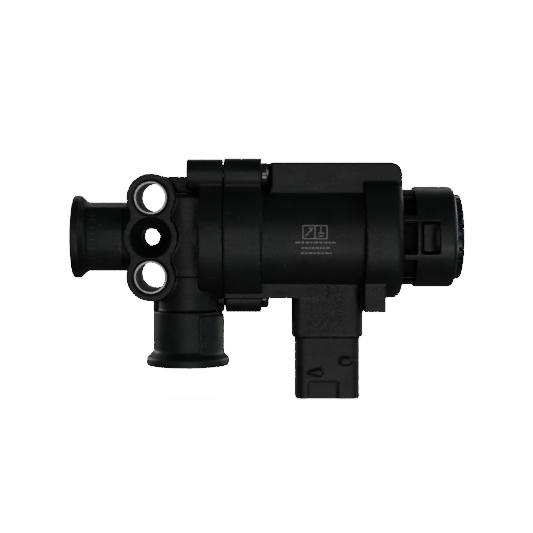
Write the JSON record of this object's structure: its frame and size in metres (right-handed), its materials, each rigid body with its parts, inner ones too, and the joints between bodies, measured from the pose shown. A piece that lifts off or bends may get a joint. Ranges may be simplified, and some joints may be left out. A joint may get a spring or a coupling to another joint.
{
  "type": "diverter valve",
  "caption": "Solenoid-operated diverter valve in black plastic: inline and side threaded ports, bolt-through boss, plug socket and slotted vent cap.",
  "frame": {"origin": "midway between the two mounting bolt holes, on the mounting face of the boss", "axes": "+X along the valve from the inline port to the vent, +Y into the mounting surface, +Z away from the down port and the plug"},
  "size_m": [0.1195, 0.038, 0.0737],
  "materials": {
    "moulded_black": "fine moulded texture, glass-filled",
    "vent_black": "satin moulding",
    "gloss_black": "gloss",
    "zinc_steel": "zinc plated",
    "magnetic_steel": "turned, bright",
    "stainless_tube": "drawn, bright",
    "spring_steel": "drawn wire",
    "yoke_steel": "stamped, zinc plated",
    "copper_wire": "enamelled copper",
    "tinned_pin": "tin plated",
    "bobbin_plastic": "natural nylon",
    "black_rubber": "matte",
    "seal_rubber": "matte",
    "umbrella_rubber": "soft, matte",
    "silencer_foam": "open sintered fibre, black"
  },
  "bodies": {
    "valve": {"valve_body": "moulded_black", "coil_housing": "moulded_black", "mounting_sleeve_upper": "zinc_steel", "mounting_sleeve_lower": "zinc_steel", "flange_screw_top": "zinc_steel", "flange_screw_bottom": "zinc_steel", "flange_oring": "black_rubber", "return_spring": "spring_steel", "guide_tube": "stainless_tube", "fixed_core": "magnetic_steel", "core_oring": "black_rubber", "bobbin": "bobbin_plastic", "copper_winding": "copper_wire", "magnet_yoke": "yoke_steel", "contact_pin_left": "tinned_pin", "contact_pin_right": "tinned_pin", "vent_carrier": "vent_black", "umbrella_valve": "umbrella_rubber", "silencer_pad": "silencer_foam", "vent_cap": "vent_black", "end_disc": "gloss_black"},
    "armature": {"plunger": "magnetic_steel", "inlet_seal": "seal_rubber", "exhaust_seal": "seal_rubber"}
  },
  "joints": [
    {"name": "plunger_slide", "type": "slide", "parent": "valve", "child": "armature", "axis": [1, 0, 0], "range_m": [0, 0.0018], "stiffness_N_per_m": 730, "springref_m": -0.004, "deforming": ["return_spring"]}
  ]
}
